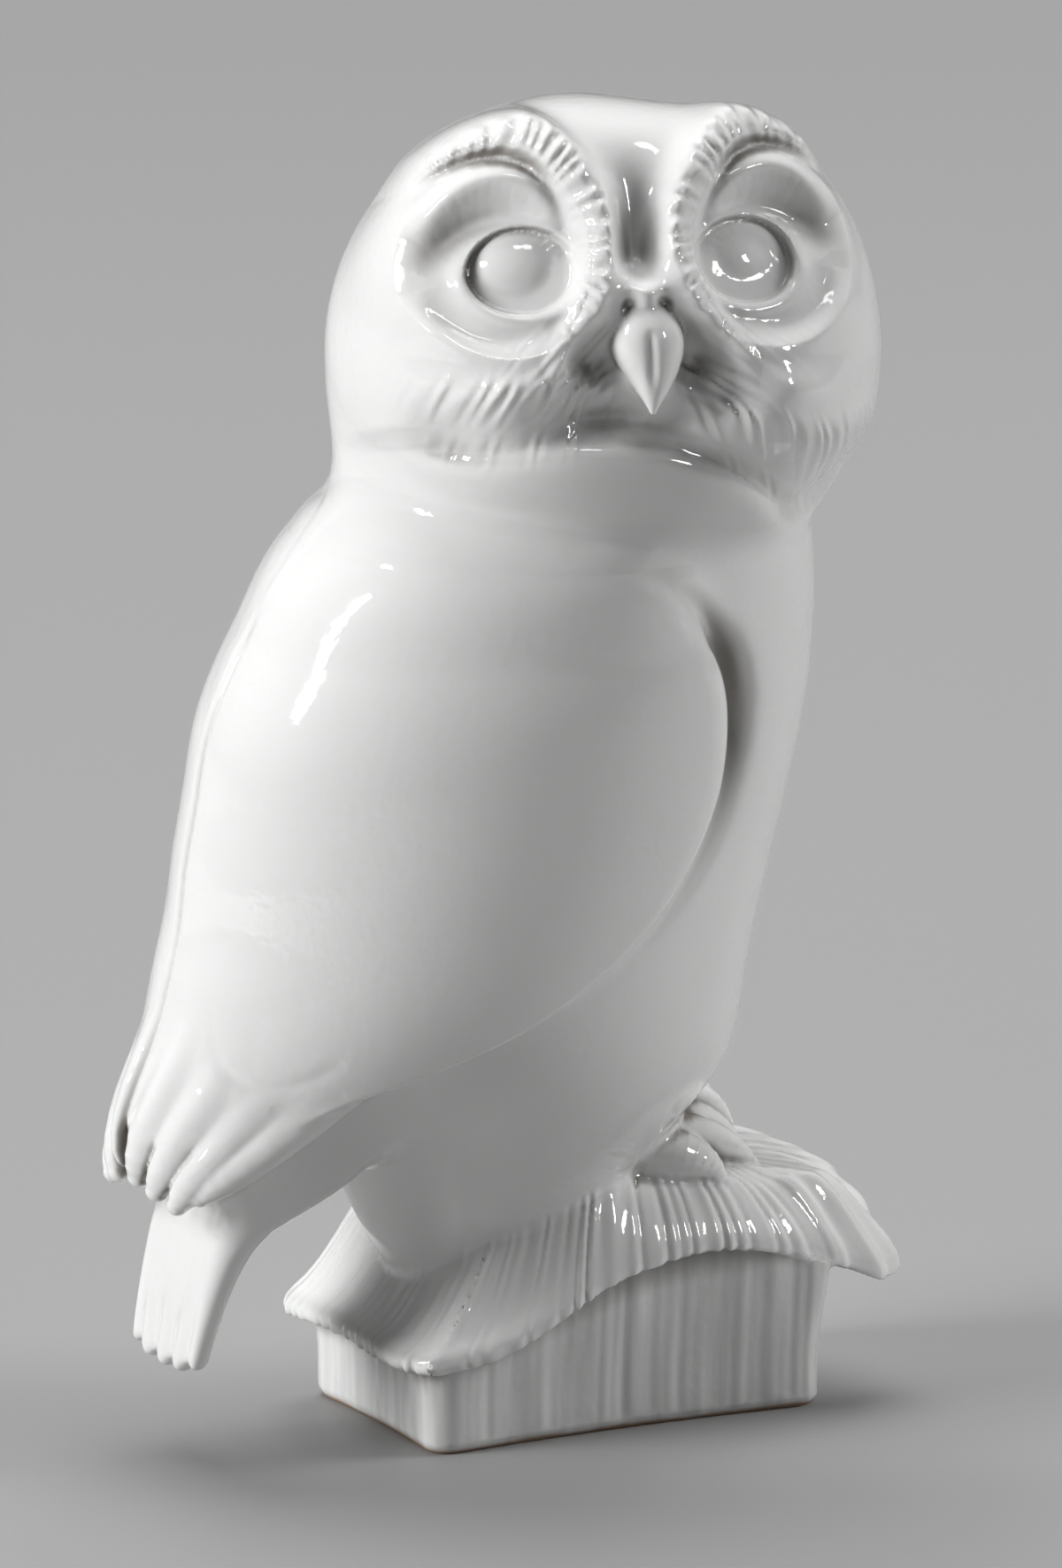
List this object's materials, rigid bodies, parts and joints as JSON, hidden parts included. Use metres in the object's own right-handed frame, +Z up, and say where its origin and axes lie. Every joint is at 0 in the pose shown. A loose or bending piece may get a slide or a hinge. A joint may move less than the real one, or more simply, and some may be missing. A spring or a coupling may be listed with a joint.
{
  "type": "owl figurine",
  "caption": "Glazed white porcelain owl with its head turned to its right, standing on a cloth-draped rectangular plinth.",
  "frame": {"origin": "on the ground, under the middle of the plinth's foot", "axes": "+Z up, -Y the way the owl's breast faces, -X the owl's right side, towards which its head is turned"},
  "size_m": [0.1097, 0.1611, 0.2689],
  "materials": {
    "glazed_porcelain": "hard white porcelain under a clear high-gloss glaze that pools faintly warm grey in the creases",
    "plinth_porcelain": "the same glossy glaze over fine vertical striations, with a narrow unglazed rim burnt light brown where the foot stands"
  },
  "bodies": {
    "root": {"plinth": "plinth_porcelain", "plinth_cover": "glazed_porcelain", "trunk": "glazed_porcelain", "wing_left": "glazed_porcelain", "wing_right": "glazed_porcelain", "tail": "glazed_porcelain", "head": "glazed_porcelain", "beak": "glazed_porcelain", "eye_left": "glazed_porcelain", "eye_right": "glazed_porcelain", "foot_left": "glazed_porcelain", "foot_right": "glazed_porcelain"}
  },
  "joints": []
}
